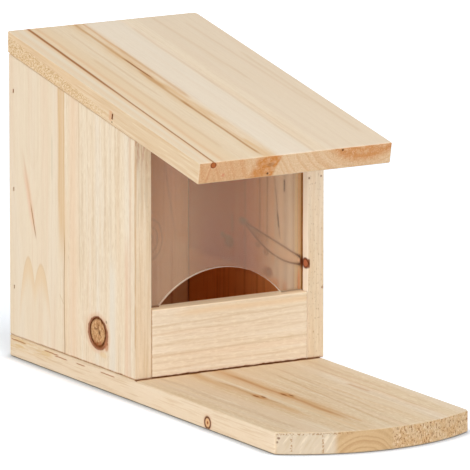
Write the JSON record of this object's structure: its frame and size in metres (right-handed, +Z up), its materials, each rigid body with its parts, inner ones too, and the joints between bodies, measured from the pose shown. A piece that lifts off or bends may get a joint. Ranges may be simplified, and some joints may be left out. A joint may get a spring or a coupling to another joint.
{
  "type": "squirrel feeder box",
  "caption": "Wooden squirrel feeder box with a clear arched window pane, a long landing board and a sloping lid that lifts on butt hinges at the back",
  "frame": {"origin": "on the underside of the landing board, at the centre of the whole object's plan", "axes": "+X to the right as seen from the front, +Y to the back wall, +Z up"},
  "size_m": [0.121, 0.3144, 0.1841],
  "materials": {
    "wall_wood": "planed untreated softwood, grain upright",
    "lid_wood": "planed untreated softwood, grain along the slope",
    "base_wood": "planed untreated softwood, grain lengthwise",
    "sill_wood": "planed untreated softwood, grain across",
    "clear_acrylic": "clear, polished faces and laser-cut edge",
    "hinge_steel": "stamped steel, zinc plated",
    "screw_steel": "zinc plated",
    "brad_steel": "bright wire"
  },
  "bodies": {
    "box": {"base_board": "base_wood", "left_side_wall": "wall_wood", "right_side_wall": "wall_wood", "back_wall": "wall_wood", "front_sill": "sill_wood", "window_pane": "clear_acrylic", "left_wall_brads": "brad_steel", "right_wall_brads": "brad_steel", "base_brads": "brad_steel", "left_hinge_pin": "hinge_steel", "left_hinge_wall_leaf": "hinge_steel", "left_hinge_wall_screws": "screw_steel", "right_hinge_pin": "hinge_steel", "right_hinge_wall_leaf": "hinge_steel", "right_hinge_wall_screws": "screw_steel"},
    "lid": {"roof_lid": "lid_wood", "left_hinge_lid_leaf": "hinge_steel", "left_hinge_lid_screws": "screw_steel", "right_hinge_lid_leaf": "hinge_steel", "right_hinge_lid_screws": "screw_steel"}
  },
  "joints": [
    {"name": "lid_hinge", "type": "hinge", "parent": "box", "child": "lid", "pos_m": [0, 0.15529, 0.17179], "axis": [-1, 0, 0], "range_deg": [0, 180]}
  ]
}
